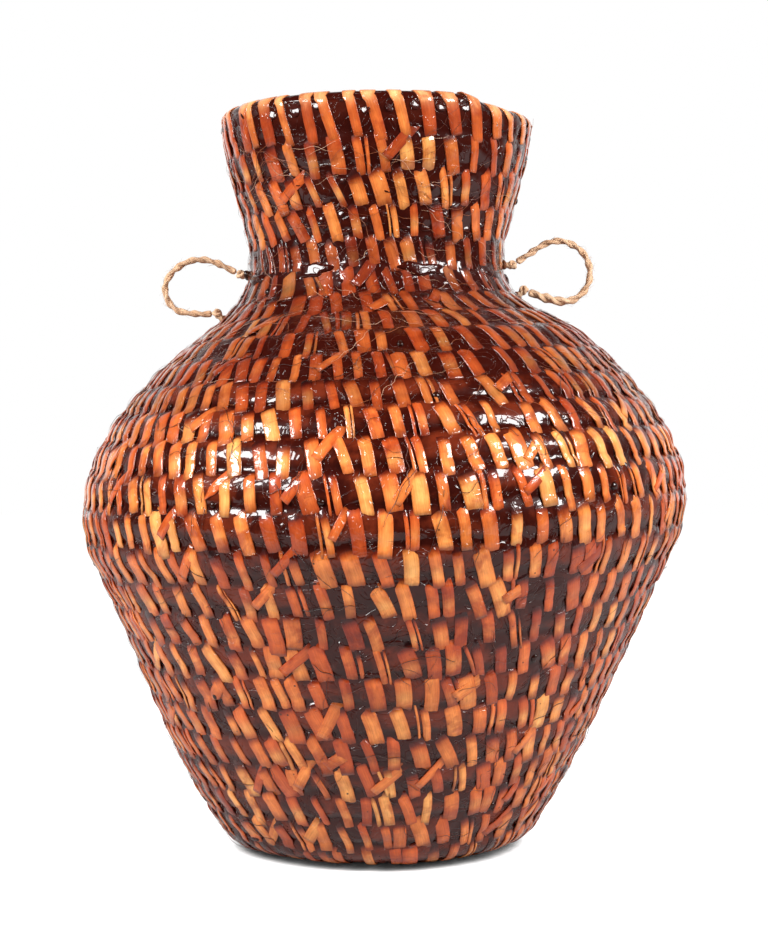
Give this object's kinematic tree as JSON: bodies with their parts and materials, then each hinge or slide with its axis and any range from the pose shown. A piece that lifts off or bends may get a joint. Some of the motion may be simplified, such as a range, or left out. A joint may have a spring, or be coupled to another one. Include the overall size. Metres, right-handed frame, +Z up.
{
  "type": "pitched basket water jar",
  "caption": "Coiled basketry jar sealed with pitch, with a wide belly, sloping shoulder, flaring neck and cord loop lugs, for carrying and keeping water.",
  "frame": {"origin": "centre of the underside, where the jar stands", "axes": "+Z up through the mouth, the front of the jar faces -Y, the lugs lie towards -X and +X"},
  "size_m": [0.2061, 0.2061, 0.25],
  "materials": {
    "coil": "gloss",
    "splint": "gloss",
    "pitch": "gloss",
    "pitch_bead": "gloss",
    "cord": "matte"
  },
  "bodies": {
    "jar": {"base_coil_01": "coil", "base_coil_02": "coil", "base_coil_03": "coil", "base_coil_04": "coil", "wall_coil_01": "coil", "wall_coil_02": "coil", "wall_coil_03": "coil", "wall_coil_04": "coil", "wall_coil_05": "coil", "wall_coil_06": "coil", "wall_coil_07": "coil", "wall_coil_08": "coil", "wall_coil_09": "coil", "wall_coil_10": "coil", "wall_coil_11": "coil", "wall_coil_12": "coil", "wall_coil_13": "coil", "wall_coil_14": "coil", "wall_coil_15": "coil", "wall_coil_16": "coil", "wall_coil_17": "coil", "wall_coil_18": "coil", "wall_coil_19": "coil", "wall_coil_20": "coil", "wall_coil_21": "coil", "wall_coil_22": "coil", "wall_coil_23": "coil", "wall_coil_24": "coil", "wall_coil_25": "coil", "rim_coil": "coil", "base_start_knot": "coil", "pitch_lining": "pitch", "left_lug_upper_bead": "pitch_bead", "left_lug_lower_bead": "pitch_bead", "right_lug_upper_bead": "pitch_bead", "right_lug_lower_bead": "pitch_bead"},
    "left_lug": {"left_lug_cord": "cord"},
    "right_lug": {"right_lug_cord": "cord"}
  },
  "joints": [
    {"name": "left_lug_swing", "type": "hinge", "parent": "jar", "child": "left_lug", "pos_m": [-0.05338, 0, 0.18747], "axis": [0.524, 0, 0.8517], "range_deg": [-70, 70]},
    {"name": "right_lug_swing", "type": "hinge", "parent": "jar", "child": "right_lug", "pos_m": [0.04577, 0, 0.19312], "axis": [-0.4172, 0, 0.9088], "range_deg": [-60, 60]}
  ]
}
